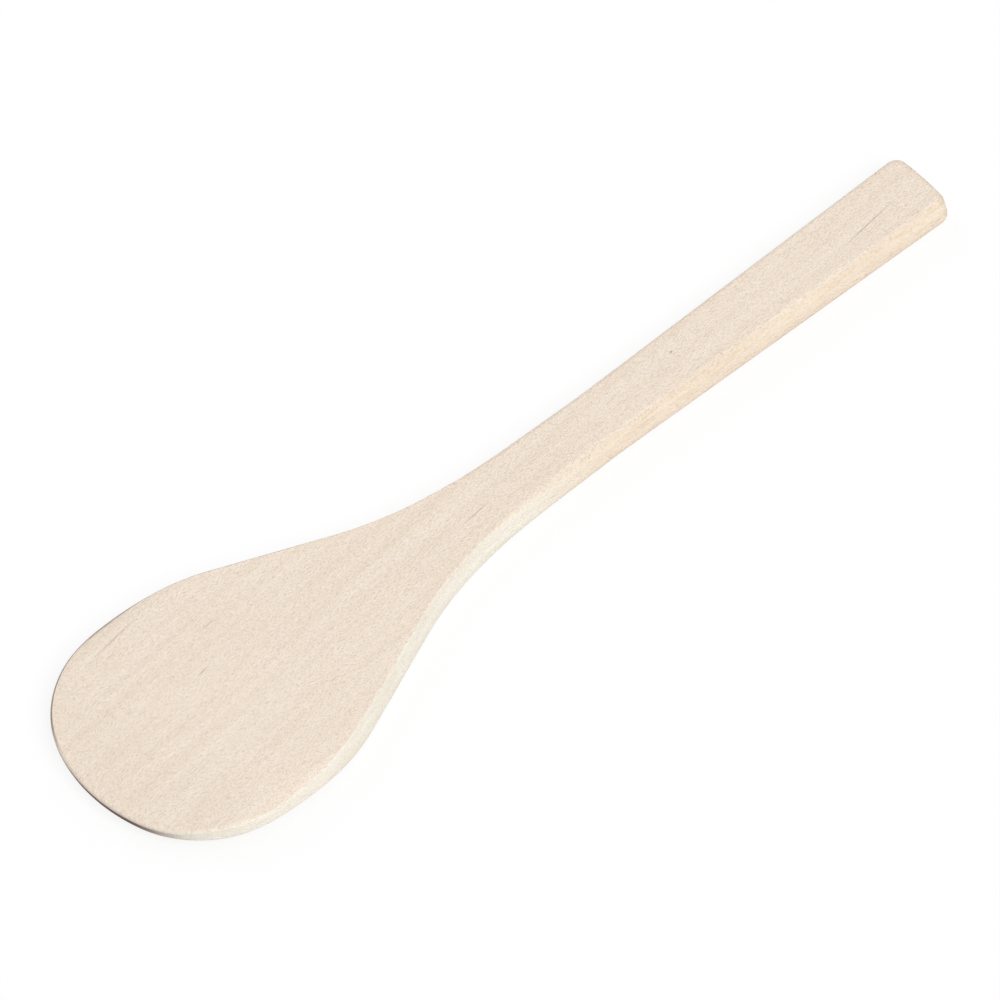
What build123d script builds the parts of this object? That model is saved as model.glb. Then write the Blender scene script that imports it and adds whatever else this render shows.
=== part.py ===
from build123d import *
from math import asin, cos, degrees, radians, tan
import os

# A wooden rice paddle, sawn to outline from one beech board and sanded. Blade, neck and handle
# are the same piece of wood. It lies on its underside: +X runs from the nose of the blade to the
# butt of the handle, +Z is up, and the origin is under the middle of its length and width.

# Driving dimensions, in millimetres and degrees.
overall_length = 300.0
board_thickness = 9.0

# The blade, seen from above. Its front is a blunt nose arc with a rounder shoulder on each side,
# then a short straight side, and a flank that slants in to the neck.
blade_width = 87.8
nose_radius_share = 1.467       # of half the blade width
shoulder_inset_share = 0.194    # of half the blade width, from the axis to the shoulder's centre
side_length = 2.6
flank_radius = 73.0
flank_angle = 26.0

# The neck and the handle, seen from above. The widths are at the corners of the filleted lines.
neck_width = 22.7
neck_radius = 104.0
waist_from_neck = 59.0          # the waist is the narrowest place
waist_width = 20.1
waist_radius = 300.0
butt_width = 24.0
butt_bow = 0.6

# The thickness. Both faces of the blade fall away along its widest part. The underside is tapered
# towards the nose, and the top face a little, over a shorter length.
side_fall_width = 5.75
side_fall_radius = 15.0
under_taper_length = 68.0
top_taper_length = 42.0
taper_blend_radius = 250.0
nose_drop_share = 0.133         # of the board's thickness, by which the top face drops
nose_thickness_share = 0.378    # of the board's thickness

# The edges. The handle is rounded to suit the hand, and that round runs out into the neck.
top_ease = 0.8
under_ease = 1.0
handle_round_share = 0.256      # of the board's thickness
butt_corner_share = 1.52        # of the handle's round, seen from above
handle_round_runout = 14.0

# How far a shaping form reaches past the wood where it cuts nothing, and how far the form of the
# handle's round stands off the wood's faces, so that its round alone cuts them.
overrun = 10.0
clearance = 0.05

# A face counts as an upright wall when its normal leans less than this share out of level.
upright_share = 1e-6

half_length = overall_length / 2
half_blade = blade_width / 2
nose_x = -half_length
nose_radius = nose_radius_share * half_blade
shoulder_radius = (1 - shoulder_inset_share) * half_blade
nose_drop = nose_drop_share * board_thickness
nose_thickness = nose_thickness_share * board_thickness
handle_round = handle_round_share * board_thickness
butt_corner_radius = butt_corner_share * handle_round
form_height = board_thickness + 2 * side_fall_radius


def shoulder_turn():
    """The angle at which the nose arc runs into the shoulder arc, and where that arc ends."""
    reach = nose_radius - shoulder_radius
    turn = asin((half_blade - shoulder_radius) / reach)
    return degrees(turn), nose_x + nose_radius - reach * cos(turn)


def side_points(half_width, neck_shift=0, gap=0):
    """The corners of the flank, neck, waist and butt on the +Y side, a gap outside the wood."""
    _, shoulder_end = shoulder_turn()
    slant = radians(flank_angle)
    flank_x = shoulder_end + side_length + flank_radius * tan(slant / 2)
    neck_x = flank_x + (half_blade - neck_width / 2) / tan(slant)
    neck = Vector(neck_x + neck_shift, neck_width / 2 + gap)
    waist = Vector(neck_x + waist_from_neck, waist_width / 2 + gap)
    butt = Vector(half_length - butt_bow + gap, butt_width / 2 + gap)
    top = Vector(neck.X - (half_width - neck.Y) / tan(slant), half_width)
    return [top, neck, waist, butt]


def bowed_butt(side):
    """The slightly bowed end of the handle, from the +Y side to the -Y side."""
    corner = side @ 1
    ThreePointArc(corner, (corner.X + butt_bow, 0), (corner.X, -corner.Y))


def board_outline():
    """The sawn outline of the paddle: nose, shoulders, flanks, neck and flaring handle."""
    turn, _ = shoulder_turn()
    with BuildSketch() as sketch:
        with BuildLine():
            nose = JernArc((nose_x, 0), (0, 1), nose_radius, -turn)
            shoulder = JernArc(nose @ 1, nose % 1, shoulder_radius, turn - 90)
            side = FilletPolyline(
                shoulder @ 1, *side_points(half_blade),
                radius=[flank_radius, neck_radius, waist_radius],
            )
            bowed_butt(side)
            mirror([nose, shoulder, side], about=Plane.XZ)
        make_face()
        fillet(sketch.vertices().group_by(Axis.X)[-1], butt_corner_radius)
    return sketch.sketch


def handle_outline():
    """The handle's own sides and butt, with a neck that flares sooner than the board's."""
    half_width = half_blade + overrun
    front = Vector(nose_x - overrun, half_width)
    with BuildSketch() as sketch:
        with BuildLine():
            side = FilletPolyline(
                front, *side_points(half_width, handle_round_runout, clearance),
                radius=[0, neck_radius, waist_radius],
            )
            bowed_butt(side)
            mirror(side, about=Plane.XZ)
            Line(front, (front.X, -front.Y))
        make_face()
        fillet(sketch.vertices().group_by(Axis.X)[-1], butt_corner_radius)
    return sketch.sketch


def rounded_section(start, corner_rank):
    """A section across the paddle at a start point, with its lowest or highest corners rounded."""
    with BuildSketch() as sketch:
        with Locations((0, form_height / 2)):
            Rectangle(blade_width + 2 * (side_fall_radius - side_fall_width), form_height)
        fillet(sketch.vertices().group_by(Axis.Y)[corner_rank], side_fall_radius)
    return Plane(start, x_dir=(0, 1, 0), z_dir=(1, 0, 0)) * sketch.sketch


def tapered_form(section, height, rise, length):
    """The section carried along the paddle at a height that changes by a rise at the nose."""
    with BuildLine(Plane.XZ) as path:
        FilletPolyline(
            (half_length + overrun, height),
            (nose_x + length, height),
            (nose_x - overrun, height + rise * (length + overrun) / length),
            radius=taper_blend_radius,
        )
    return sweep(section, path=path.line)


def top_form():
    """All that lies under the top face, which falls at its sides and drops towards the nose."""
    section = rounded_section((half_length + overrun, 0, board_thickness - form_height), -1)
    return tapered_form(section, board_thickness, -nose_drop, top_taper_length)


def under_form():
    """All that lies above the underside, which falls at its sides and rises towards the nose."""
    section = rounded_section((half_length + overrun, 0, 0), 0)
    rise = board_thickness - nose_drop - nose_thickness
    return tapered_form(section, 0, rise, under_taper_length)


def wall_edges(solid):
    """The edges along the foot of the sawn walls, and those along their head."""
    walls = solid.faces().filter_by(lambda face: abs(face.normal_at().Z) < upright_share)
    edges = walls.edges().filter_by(Axis.Z, reverse=True)
    middle = board_thickness - nose_drop - nose_thickness / 2
    foot = edges.filter_by(lambda edge: edge.center().Z < middle)
    head = edges.filter_by(lambda edge: edge.center().Z > middle)
    return foot, head


# The board is sawn to outline, and both faces are planed to shape.
board = Pos(0, 0, -overrun) * extrude(board_outline(), board_thickness + 2 * overrun)
shaped = board & top_form() & under_form()

# The arrises are eased with paper, a little more on the underside.
eased = fillet(wall_edges(shaped)[1], top_ease)
eased = fillet(wall_edges(eased)[0], under_ease)

# The handle's own form has the full round. It flares wide of the board at the neck, so there the
# round leaves the wood bit by bit.
handle_form = Pos(0, 0, -clearance) * extrude(handle_outline(), board_thickness + 2 * clearance)
handle_form = fillet(handle_form.faces().filter_by(Axis.Z).edges(), handle_round)
paddle = eased & handle_form

os.makedirs("parts", exist_ok=True)
export_step(paddle, "parts/paddle.step")
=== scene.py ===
from math import asin, atan, cos, pi, radians, sin, tan

import bmesh
import bpy
import numpy as np
from mathutils import Matrix, Vector


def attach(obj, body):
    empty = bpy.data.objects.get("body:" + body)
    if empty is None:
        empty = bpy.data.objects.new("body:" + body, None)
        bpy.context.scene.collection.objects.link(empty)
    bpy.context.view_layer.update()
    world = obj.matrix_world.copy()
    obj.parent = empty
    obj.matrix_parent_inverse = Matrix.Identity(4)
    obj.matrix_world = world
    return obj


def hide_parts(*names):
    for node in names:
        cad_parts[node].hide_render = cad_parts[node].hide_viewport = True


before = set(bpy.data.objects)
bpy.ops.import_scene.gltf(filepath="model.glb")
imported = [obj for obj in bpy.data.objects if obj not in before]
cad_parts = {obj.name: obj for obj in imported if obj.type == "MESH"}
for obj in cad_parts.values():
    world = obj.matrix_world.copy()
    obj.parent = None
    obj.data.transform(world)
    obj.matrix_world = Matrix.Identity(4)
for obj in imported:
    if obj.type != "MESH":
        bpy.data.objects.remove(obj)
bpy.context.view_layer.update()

# The paddle is one piece of beech, sawn to outline from a 9 mm board. Its blade is planed thinner
# underneath towards the nose and falls away at both sides. All edges are eased with sandpaper, and
# the handle is rounded to suit the hand.

mm = 0.001                  # in metres, as every length here

overall_length = 300 * mm
board_thickness = 9 * mm
blade_width = 87.8 * mm
nose_radius = 64.4 * mm
shoulder_radius = 35.4 * mm
side_length = 2.6 * mm
flank_radius = 73 * mm
flank_angle = radians(26)
neck_width = 22.7 * mm
neck_radius = 104 * mm
waist_from_neck = 59 * mm
waist_width = 20.1 * mm
waist_radius = 300 * mm
butt_width = 24 * mm
butt_bow = 0.6 * mm
butt_corner_radius = 3.5 * mm

side_fall_width = 5.75 * mm
side_fall_radius = 15 * mm
taper_length = 68 * mm
taper_blend_radius = 250 * mm
nose_thickness = 3.4 * mm
top_drop = 1.2 * mm
top_taper_length = 42 * mm

top_ease = 0.5 * mm
under_ease = 1.0 * mm
nose_round = 1.1 * mm
nose_round_starts_at = -112 * mm
nose_round_is_full_at = -132 * mm
handle_round = 2.3 * mm
round_starts_at = -20 * mm
round_is_full_at = 6 * mm

outline_spacing = 1.1 * mm
fewest_arc_steps = 10
round_steps = 7
wall_steps = 3
rib_steps = 15
rib_crowding = 1.7          # above 1 draws a rib's points together at the edge

# The ribs run from the edge to the paddle's axis. Past these two places they fan out, because
# their ends are drawn in by a share of the way that is left.
front_fan_starts_at = -105 * mm
front_fan_share = 0.5
back_fan_starts_at = 134 * mm
back_fan_share = 0.4

half_length = overall_length / 2
half_blade = blade_width / 2


def smooth_step(value, start, end):
    """0 before the start, 1 after the end, and a smooth rise between them."""
    share = np.clip((value - start) / (end - start), 0, 1)
    return share * share * (3 - 2 * share)


def straight_points(start, end):
    """Points along a straight stretch of the outline, without its end."""
    count = max(1, round(np.linalg.norm(end - start) / outline_spacing))
    return [start + (end - start) * step / count for step in range(count)]


def arc_points(start, heading, radius, turn):
    """Points along an arc from a start point and heading, turning left if turn is positive."""
    side = np.sign(turn)
    centre = start + radius * side * np.array([-sin(heading), cos(heading)])
    count = max(fewest_arc_steps, round(abs(turn) * radius / outline_spacing))
    angles = heading - side * pi / 2 + turn * np.linspace(0, 1, count + 1)
    return [centre + radius * np.array([cos(angle), sin(angle)]) for angle in angles]


def filleted_points(corners, radii):
    """Points along a line through the corners, with each inner corner rounded to its radius."""
    points = []
    here = corners[0]
    for corner, after, radius in zip(corners[1:], corners[2:], radii):
        heading = np.arctan2(*(corner - here)[::-1])
        turn = np.arctan2(*(after - corner)[::-1]) - heading
        along = np.array([cos(heading), sin(heading)])
        start = corner - along * radius * tan(abs(turn) / 2)
        arc = arc_points(start, heading, radius, turn)
        points += straight_points(here, start) + arc[:-1]
        here = arc[-1]
    return points + straight_points(here, corners[-1]) + [corners[-1]]


def half_outline():
    """The sawn outline on the +Y side, from the middle of the nose to the middle of the butt."""
    reach = nose_radius - shoulder_radius
    turn = asin((half_blade - shoulder_radius) / reach)
    nose = arc_points(np.array([-half_length, 0]), pi / 2, nose_radius, -turn)
    shoulder = arc_points(nose[-1], pi / 2 - turn, shoulder_radius, turn - pi / 2)
    flank_x = shoulder[-1][0] + side_length + flank_radius * tan(flank_angle / 2)
    neck_x = flank_x + (half_blade - neck_width / 2) / tan(flank_angle)
    butt_x = half_length - butt_bow
    corners = [
        shoulder[-1],
        (flank_x, half_blade),
        (neck_x, neck_width / 2),
        (neck_x + waist_from_neck, waist_width / 2),
        (butt_x, butt_width / 2),
        (butt_x, 0),
    ]
    radii = [flank_radius, neck_radius, waist_radius, butt_corner_radius]
    side = filleted_points([np.array(corner) for corner in corners], radii)
    points = np.array(nose[:-1] + shoulder[:-1] + side)
    butt = points[:, 0] > butt_x - butt_corner_radius
    points[butt, 0] += butt_bow * (1 - (2 * points[butt, 1] / butt_width) ** 2)
    return points


def side_fall(y):
    """How far each face has fallen away at a distance from the axis."""
    past = np.maximum(np.abs(y) - (half_blade - side_fall_width), 0)
    return side_fall_radius - np.sqrt(side_fall_radius ** 2 - past ** 2)


def taper(points, depth, length):
    """How far a face is planed back towards the nose, with a soft start."""
    slope = depth / length
    blend = taper_blend_radius * tan(atan(slope) / 2)
    ahead = length - half_length - points[:, 0]
    soft = np.clip(ahead + blend, 0, 2 * blend)
    return slope * np.where(ahead > blend, ahead, soft ** 2 / (4 * blend))


def top_height(points):
    """How high the top face lies at each point."""
    drop = taper(points, top_drop, top_taper_length)
    return board_thickness - side_fall(points[:, 1]) - drop


def under_height(points):
    """How high the underside lies at each point."""
    rise = taper(points, board_thickness - top_drop - nose_thickness, taper_length)
    return rise + side_fall(points[:, 1])


def edge_round(outline, inward, radius, face_height, up):
    """The round between the wall and a face, as rings of points from the wall to the face."""
    at_wall = face_height(outline)
    slope = up * (face_height(outline + inward * radius[:, None]) - at_wall) / radius
    steep = np.sqrt(1 + slope ** 2)
    centre = at_wall + up * radius * (slope - steep)
    rings = []
    for step in range(round_steps + 1):
        angle = (pi / 2 - np.arctan(slope)) * step / round_steps
        inset = radius * (1 - np.cos(angle))
        height = centre + up * radius * np.sin(angle)
        rings.append(np.column_stack([outline + inward * inset[:, None], height]))
    return rings


def ribs(edge, spine, face_height):
    """Rings of points on a face, from its rounded edge to the paddle's axis."""
    rings = []
    for step in range(1, rib_steps + 1):
        share = (step / rib_steps) ** rib_crowding
        flat = edge[:, :2] + (spine - edge[:, :2]) * share
        rings.append(np.column_stack([flat, face_height(flat)]))
    return rings


def paddle_mesh():
    """The whole surface of the paddle, as rings that run right round its outline."""
    half = half_outline()
    outline = np.vstack([half, half[-2:0:-1] * [1, -1]])
    along = np.roll(outline, -1, axis=0) - np.roll(outline, 1, axis=0)
    along /= np.linalg.norm(along, axis=1)[:, None]
    inward = np.column_stack([along[:, 1], -along[:, 0]])

    blend = smooth_step(outline[:, 0], round_starts_at, round_is_full_at)
    nose_blend = smooth_step(-outline[:, 0], -nose_round_starts_at, -nose_round_is_full_at)
    top_round = top_ease + (handle_round - top_ease) * blend + (nose_round - top_ease) * nose_blend
    under_round = under_ease + (handle_round - under_ease) * blend
    top = edge_round(outline, inward, top_round, top_height, 1)
    under = edge_round(outline, inward, under_round, under_height, -1)
    wall = [
        under[0] + (top[0] - under[0]) * step / wall_steps
        for step in range(1, wall_steps)
    ]

    x = outline[:, 0]
    spine_x = x - front_fan_share * np.minimum(x - front_fan_starts_at, 0)
    spine_x -= back_fan_share * np.maximum(x - back_fan_starts_at, 0)
    spine = np.column_stack([spine_x, 0 * x])
    top_face = ribs(top[-1], spine, top_height)
    under_face = ribs(under[-1], spine, under_height)

    rings = under_face[::-1] + under[::-1] + wall + top + top_face
    count = len(outline)
    vertices = np.vstack(rings)
    number = np.arange(len(vertices)).reshape(len(rings), count)

    # The first and last rings lie on the axis, where the two sides share their points.
    for ring in (0, -1):
        for place in range(len(half), count):
            number[ring, place] = number[ring, count - place]

    faces = []
    for ring in range(len(rings) - 1):
        for place in range(count):
            after = (place + 1) % count
            faces.append((
                number[ring, place], number[ring, after],
                number[ring + 1, after], number[ring + 1, place],
            ))
    mesh = bpy.data.meshes.new("beech_paddle")
    mesh.from_pydata(vertices.tolist(), [], [tuple(map(int, face)) for face in faces])
    return mesh


# The points that a shared one has replaced are taken out, and the faces turned outwards.
mesh = paddle_mesh()
shell = bmesh.new()
shell.from_mesh(mesh)
loose = [vertex for vertex in shell.verts if not vertex.link_faces]
bmesh.ops.delete(shell, geom=loose, context="VERTS")
bmesh.ops.recalc_face_normals(shell, faces=shell.faces)
for face in shell.faces:
    face.smooth = True
shell.to_mesh(mesh)
shell.free()
paddle = bpy.data.objects.new("beech_paddle", mesh)
bpy.context.scene.collection.objects.link(paddle)


def linear(hex_colour):
    """An sRGB hex colour as the linear numbers that Blender uses."""
    shares = [int(hex_colour[place:place + 2], 16) / 255 for place in (1, 3, 5)]
    return [s / 12.92 if s <= 0.04045 else ((s + 0.055) / 1.055) ** 2.4 for s in shares] + [1]


def add_node(tree, kind, inputs=(), **settings):
    """Adds a node, sets what it is told to, and links or fills its sockets."""
    node = tree.nodes.new(kind)
    for name, value in settings.items():
        setattr(node, name, value)
    for socket, value in dict(inputs).items():
        if isinstance(value, bpy.types.NodeSocket):
            tree.links.new(value, node.inputs[socket])
        else:
            node.inputs[socket].default_value = value
    return node


# Beech, planed and fine sanded, left bare. To the eye it is a pale pinkish cream with a dull
# surface and a fine tooth, crossed by faint growth bands and strewn with short ray flecks. All
# patterns are solid ones, measured in millimetres, so they run on from face to face.

beech_face = linear("#FCEEDE")
# Darker and yellower than the face: painted shade that dims the lamp's highlight on the -Y arris.
beech_arris_shade = linear("#F4E4CE")
beech_wall_streak = linear("#DDAE80")
beech_handle_wall = linear("#FBECD8")
# Paler than the face: partly the side grain's own tone, partly a painted sheen on the blade's
# walls.
beech_blade_wall_and_sheen = linear("#FDF9EC")
beech_end_grain = linear("#F4E1D5")
beech_late_growth = linear("#E2CAB0")
beech_fleck = linear("#9C7757")
# The brown of painted shade, laid on the walls' foot, the front of the blade, the blade's +Y arris
# and the foot of the nose.
beech_painted_shade = linear("#4C2E24")

grain_slope = radians(6)        # the grain runs off the paddle's axis by this much
grain_wander = 1.6              # mm, to each side
wander_length = 80              # mm, from one turn of the grain to the next
noise_reach = 0.25              # how far a noise strays from its middle, to each side

# The Mix node has sockets for each kind of value. These are the numbers of those for colours.
mix_under = 6
mix_over = 7
mix_result = 2

beech = bpy.data.materials.new("beech_sanded")
beech.use_nodes = True
tree = beech.node_tree
tree.nodes.clear()

coordinates = add_node(tree, "ShaderNodeTexCoord")
in_mm = add_node(
    tree, "ShaderNodeMapping",
    {
        "Vector": coordinates.outputs["Object"],
        "Rotation": (0, 0, -grain_slope),
        "Scale": (1 / mm,) * 3,
    },
)
wander = add_node(
    tree, "ShaderNodeTexNoise",
    {"Vector": in_mm.outputs["Vector"], "Scale": 1 / wander_length, "Detail": 2},
)
grain = add_node(
    tree, "ShaderNodeVectorMath",
    {
        0: wander.outputs["Color"],
        1: (0, grain_wander / noise_reach, grain_wander / noise_reach),
        2: in_mm.outputs["Vector"],
    },
    operation="MULTIPLY_ADD",
)

# Each pattern is drawn out along the grain. Its spacing is in millimetres along the grain, across
# it and through the board. The growth bands are the faint yearly stripes, and the streaks are
# bundles of darker fibres. The fibres and the tooth that sanding leaves are drawn a little
# coarser than real ones, so that they show.
pattern_spacing = {
    "bands": (70, 3.2, 2.6),
    "streaks": (11, 0.95, 0.95),
    "fibres": (1.8, 0.40, 0.40),
    "tooth": (0.78, 0.46, 0.58),
    "flecks": (3.6, 1.1, 5),
}
pattern = {}
for name, spacing in pattern_spacing.items():
    counted = add_node(
        tree, "ShaderNodeVectorMath",
        {0: grain.outputs["Vector"], 1: tuple(1 / size for size in spacing)},
        operation="MULTIPLY",
    )
    if name == "flecks":
        cells = add_node(
            tree, "ShaderNodeTexVoronoi",
            {"Vector": counted.outputs["Vector"], "Scale": 1}, distance="MANHATTAN",
        )
        pattern["fleck_reach"] = cells.outputs["Distance"]
        pattern["fleck_rank"] = cells.outputs["Color"]
    else:
        noise = add_node(
            tree, "ShaderNodeTexNoise", {"Vector": counted.outputs["Vector"], "Scale": 1},
        )
        pattern[name] = noise.outputs["Fac"]

# How level a face is, and how squarely it looks to an end of the paddle, both from 0 to 1.
lean = add_node(
    tree, "ShaderNodeVectorMath", {0: coordinates.outputs["Normal"]}, operation="ABSOLUTE",
)
lean_parts = add_node(tree, "ShaderNodeSeparateXYZ", {"Vector": lean.outputs["Vector"]})
level = lean_parts.outputs["Z"]
to_ends = lean_parts.outputs["X"]

# How squarely a face looks to a side of the paddle: 1 for the +Y side and -1 for the other.
facing = add_node(tree, "ShaderNodeSeparateXYZ", {"Vector": coordinates.outputs["Normal"]})
to_side = facing.outputs["Y"]

# Where a point lies, in millimetres.
spot = add_node(
    tree, "ShaderNodeMapping",
    {"Vector": coordinates.outputs["Object"], "Scale": (1 / mm,) * 3},
)
spot_parts = add_node(tree, "ShaderNodeSeparateXYZ", {"Vector": spot.outputs["Vector"]})
along = spot_parts.outputs["X"]
across = spot_parts.outputs["Y"]
height = spot_parts.outputs["Z"]

# The tints, from the bottom one up. Each has a colour, its greatest share, and the values that
# bring the share in as they go from the first number to the second. The sawn walls come first.
# On the handle they look a little yellower than the face and have brown streaks. The arris that
# faces -Y is yellower and a little darker, which is painted shade to dim the lamp's highlight
# there.
# Round the blade they look paler, partly the side grain's own tone and partly a painted sheen, and
# at the nose, where they show end grain, darker and pinker. Painted shade darkens the walls' foot
# and the front of the blade a touch, and lays a brown line of shade along the arris on the blade's
# +Y side and at the foot of the nose.
tints = [
    (beech_handle_wall, 1.0, [(level, 0.85, 0.35)]),
    # Painted shade on the arris that faces the lamp, dimming its highlight.
    (
        beech_arris_shade, 1.0,
        [(level, 0.99, 0.75), (level, 0.1, 0.5), (to_side, 0, -0.3), (along, -10, 40)],
    ),
    # The blade's walls are paler: the side grain's tone with a painted sheen.
    (beech_blade_wall_and_sheen, 1.0, [(level, 0.9, 0.35), (along, 32, -10)]),
    (
        beech_end_grain, 1.0,
        [(level, 0.97, 0.7), (to_ends, 0.6, 1.0), (along, 60, 0), (across, -45, -10)],
    ),
    (
        beech_wall_streak, 0.32,
        [(level, 0.8, 0.4), (along, 15, 45), (pattern["streaks"], 0.45, 0.8)],
    ),
    # Painted shade: the walls darker towards their foot, and the top face darker towards the nose.
    (beech_painted_shade, 0.07, [(level, 0.85, 0.35), (height, 5, 0.5)]),
    (beech_painted_shade, 0.025, [(level, 0.85, 0.97), (along, -108, -142)]),
    (beech_late_growth, 0.33, [(pattern["bands"], 0.1, 0.9)]),
    (beech_fleck, 0.03, [(pattern["streaks"], 0.3, 0.8)]),
    (beech_fleck, 0.05, [(pattern["fibres"], 0.3, 0.75)]),
    (beech_fleck, 0.26, [(pattern["tooth"], 0.42, 0.8), (level, -0.2, 0.9)]),
    (
        beech_fleck, 0.25,
        [(pattern["fleck_reach"], 0.36, 0.05), (pattern["fleck_rank"], 0.3, 1)],
    ),
    # Painted shade: a brown line along the arris on the blade's +Y side, which faces away from the
    # key lamp.
    (
        beech_painted_shade, 0.65,
        [(level, 0.965, 0.925), (level, 0.4, 0.65), (along, -20, -60), (across, 14, 27)],
    ),
    # Painted shade: a dark brown line at the foot of the nose's wall, under its rim.
    (
        beech_painted_shade, 0.95,
        [
            (level, 0.95, 0.7), (to_ends, 0.55, 0.95), (along, -120, -136), (across, 26, 2),
            (across, -38, -14), (height, 6.9, 6.2),
        ],
    ),
]
colour = beech_face
for tint, share, limits in tints:
    for value, start, end in limits:
        limited = add_node(
            tree, "ShaderNodeMapRange",
            {"Value": value, "From Min": start, "From Max": end, "To Max": share},
            interpolation_type="SMOOTHSTEP",
        )
        share = limited.outputs["Result"]
    tinted = add_node(
        tree, "ShaderNodeMix", {"Factor": share, mix_under: colour, mix_over: tint},
        data_type="RGBA",
    )
    colour = tinted.outputs[mix_result]

# A few stronger grain lines and one small dark spot on the top face: the middle of each, its
# length and width in millimetres, how far it turns from the paddle's axis in degrees, and its
# depth of colour.
grain_lines = [
    ((-113.0, 37.0), 24.0, 1.4, 8, 0.27),
    ((-90.6, 21.5), 7.7, 0.6, 5, 0.32),
    ((-102.2, 9.2), 5.1, 0.6, 10, 0.50),
    ((-117.5, 32.9), 4.4, 0.5, 1, 0.30),
    ((-67.4, -5.4), 3.0, 0.4, 10, 0.40),
    ((-78.1, -20.2), 4.2, 0.4, 10, 0.40),
    ((-13.6, -2.8), 12.0, 0.6, 7, 0.48),
    ((128.9, -2.4), 24.0, 0.6, 8, 0.48),
    ((60.5, 2.3), 1.6, 1.2, 0, 0.55),
]
line_reaches_down = 2 * mm
line_core = 0.2                 # of the way from a line's middle to its end or edge
line_fades_at = 1.1             # the same, a little past its end and edge
for (x, y), length, width, turn, depth in grain_lines:
    about_line = add_node(
        tree, "ShaderNodeMapping",
        {
            "Vector": coordinates.outputs["Object"],
            "Location": (x * mm, y * mm, board_thickness),
            "Rotation": (0, 0, radians(turn)),
            "Scale": (length / 2 * mm, width / 2 * mm, line_reaches_down),
        },
        vector_type="TEXTURE",
    )
    away = add_node(
        tree, "ShaderNodeVectorMath", {0: about_line.outputs["Vector"]}, operation="LENGTH",
    )
    line = add_node(
        tree, "ShaderNodeMapRange",
        {
            "Value": away.outputs["Value"],
            "From Min": line_core,
            "From Max": line_fades_at,
            "To Min": depth,
            "To Max": 0,
        },
        interpolation_type="SMOOTHSTEP",
    )
    tinted = add_node(
        tree, "ShaderNodeMix",
        {"Factor": line.outputs["Result"], mix_under: colour, mix_over: beech_fleck},
        data_type="RGBA",
    )
    colour = tinted.outputs[mix_result]

# Sanding leaves a fine tooth and the fibres standing. They are drawn deeper than real ones, so
# that they show, and the surface is a little rougher where the fibres are dark.
tooth_depth = 0.45 * mm
fibre_share = 0.3               # of the tooth's depth
least_roughness = 0.56
most_roughness = 0.72
refraction = 1.5

relief = add_node(
    tree, "ShaderNodeMath", {0: pattern["fibres"], 1: fibre_share, 2: pattern["tooth"]},
    operation="MULTIPLY_ADD",
)
bump = add_node(
    tree, "ShaderNodeBump",
    {"Height": relief.outputs["Value"], "Strength": 1, "Distance": tooth_depth},
)
roughness = add_node(
    tree, "ShaderNodeMapRange",
    {"Value": pattern["fibres"], "To Min": least_roughness, "To Max": most_roughness},
)
surface = add_node(
    tree, "ShaderNodeBsdfPrincipled",
    {
        "Base Color": colour,
        "Roughness": roughness.outputs["Result"],
        "IOR": refraction,
        "Normal": bump.outputs["Normal"],
    },
)
add_node(tree, "ShaderNodeOutputMaterial", {"Surface": surface.outputs["BSDF"]})

mesh.materials.append(beech)
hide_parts("paddle")
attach(paddle, "root")

# The table: a plain matt white sheet, wide enough to fill every view. The camera sees it as the
# photograph's bare ground with a light shadow, and it throws back less light than it shows, as a
# sheet on a dark studio floor does.

table_size = 8.0
table_white = linear("#FFFFFF")
table_grey = linear("#E1E1E1")
shadow_share = 0.16             # of the real shadow's depth

table_mesh = bpy.data.meshes.new("white_table")
reach = table_size / 2
table_mesh.from_pydata(
    [(-reach, -reach, 0), (reach, -reach, 0), (reach, reach, 0), (-reach, reach, 0)],
    [], [(0, 1, 2, 3)],
)
table = bpy.data.objects.new("white_table", table_mesh)
bpy.context.scene.collection.objects.link(table)
sheet = bpy.data.materials.new("white_paper_matt")
sheet.use_nodes = True
sheet_tree = sheet.node_tree
sheet_tree.nodes.clear()


def seen_ray(node_tree):
    """1 for what the camera sees, also by reflection or through glass, and 0 for other light."""
    ray = add_node(node_tree, "ShaderNodeLightPath")
    seen = ray.outputs["Is Camera Ray"]
    for kind in ("Is Glossy Ray", "Is Transmission Ray"):
        seen = add_node(
            node_tree, "ShaderNodeMath", {0: seen, 1: ray.outputs[kind]}, operation="MAXIMUM",
        ).outputs["Value"]
    return seen


lit = add_node(sheet_tree, "ShaderNodeBsdfDiffuse", {"Color": table_white})
bare = add_node(sheet_tree, "ShaderNodeEmission", {"Color": table_white, "Strength": 1})
dull = add_node(sheet_tree, "ShaderNodeBsdfDiffuse", {"Color": table_grey})
shown = add_node(
    sheet_tree, "ShaderNodeMixShader",
    {0: shadow_share, 1: bare.outputs["Emission"], 2: lit.outputs["BSDF"]},
)
mixed = add_node(
    sheet_tree, "ShaderNodeMixShader",
    {0: seen_ray(sheet_tree), 1: dull.outputs["BSDF"], 2: shown.outputs["Shader"]},
)
add_node(sheet_tree, "ShaderNodeOutputMaterial", {"Surface": mixed.outputs["Shader"]})
table_mesh.materials.append(sheet)

# The light: an even white surround, a large soft lamp on the -Y side of the paddle and a weaker
# one on the +Y side. Together they light a level surface so that its colour shows as it is
# written: the three levels add up to 1.

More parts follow.
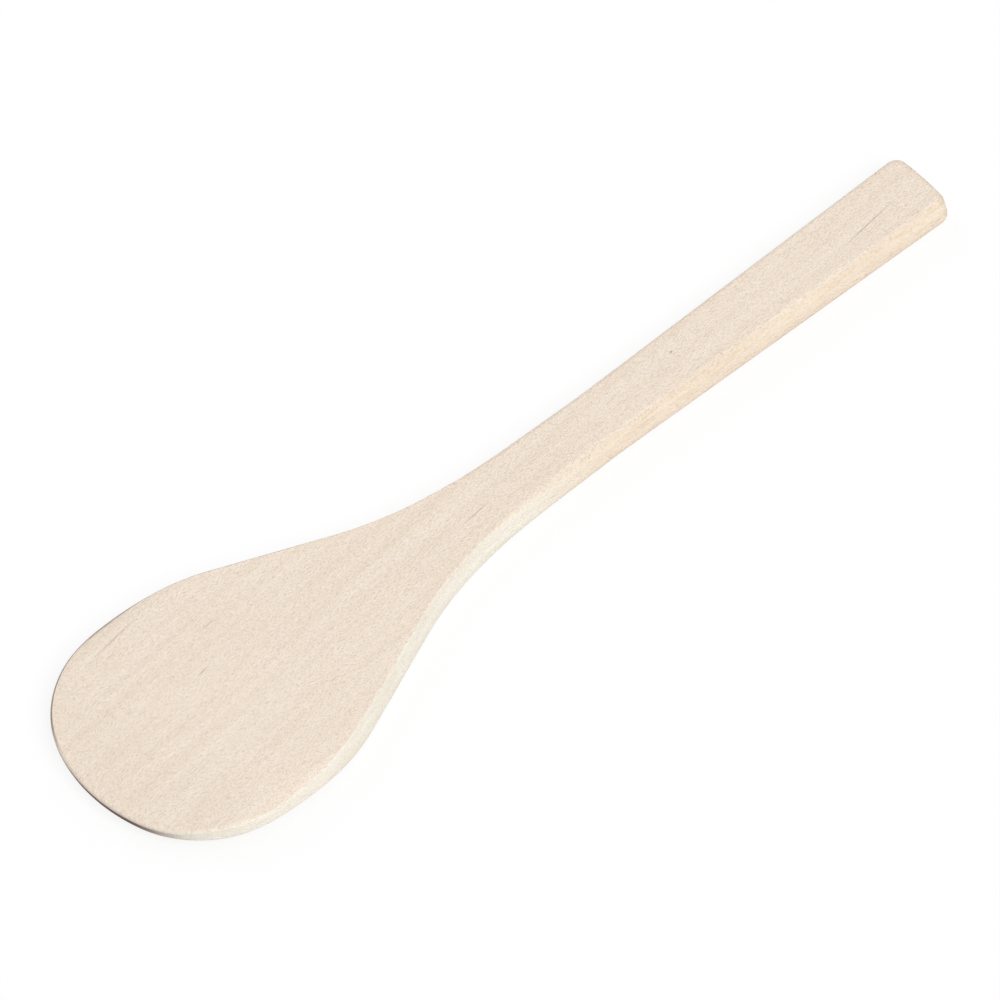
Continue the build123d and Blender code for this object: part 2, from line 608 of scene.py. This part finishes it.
surround_level = 0.46
lamps = [
    ("key_lamp", 0.42, Vector((0, -1.05, 1)), radians(30)),
    ("fill_lamp", 0.12, Vector((0, 1.5, 1)), radians(40)),
]
for name, lamp_level, direction, softness in lamps:
    lamp_data = bpy.data.lights.new(name, "SUN")
    lamp_data.energy = lamp_level * pi / direction.normalized().z
    lamp_data.angle = softness
    lamp = bpy.data.objects.new(name, lamp_data)
    lamp.rotation_mode = "QUATERNION"
    lamp.rotation_quaternion = direction.to_track_quat("Z", "Y")
    bpy.context.scene.collection.objects.link(lamp)

surround = bpy.data.worlds.new("white_surround")
surround.use_nodes = True
surround_tree = surround.node_tree
surround_tree.nodes.clear()
strength = add_node(
    surround_tree, "ShaderNodeMapRange",
    {"Value": seen_ray(surround_tree), "To Min": surround_level, "To Max": 1},
)
background = add_node(
    surround_tree, "ShaderNodeBackground",
    {"Color": linear("#FFFFFF"), "Strength": strength.outputs["Result"]},
)
add_node(surround_tree, "ShaderNodeOutputWorld", {"Surface": background.outputs["Background"]})
bpy.context.scene.world = surround

# The camera looks down on the paddle from its nose end and -Y side, from far off through a long
# lens, rolled so that the handle points to the upper right.

camera_turn = radians(-114.28)      # of the camera about the paddle, from +X
camera_tilt = radians(40.09)        # of the line of sight from straight down
camera_roll = radians(-17.27)
camera_distance = 9.0
looks_at = Vector((-2.85 * mm, 2.82 * mm, 0))
frame_width = 279.52 * mm           # at the paddle

toward = Vector((
    sin(camera_tilt) * cos(camera_turn), sin(camera_tilt) * sin(camera_turn), cos(camera_tilt),
))
camera_data = bpy.data.cameras.new("camera")
camera_data.lens = camera_data.sensor_width * camera_distance / frame_width
camera = bpy.data.objects.new("camera", camera_data)
level_view = toward.to_track_quat("Z", "Y").to_matrix()
roll = Matrix.Rotation(camera_roll, 3, "Z")
camera.matrix_world = Matrix.Translation(looks_at + toward * camera_distance) @ (
    level_view @ roll
).to_4x4()
bpy.context.scene.collection.objects.link(camera)
bpy.context.scene.camera = camera
bpy.context.scene.view_settings.view_transform = "Standard"
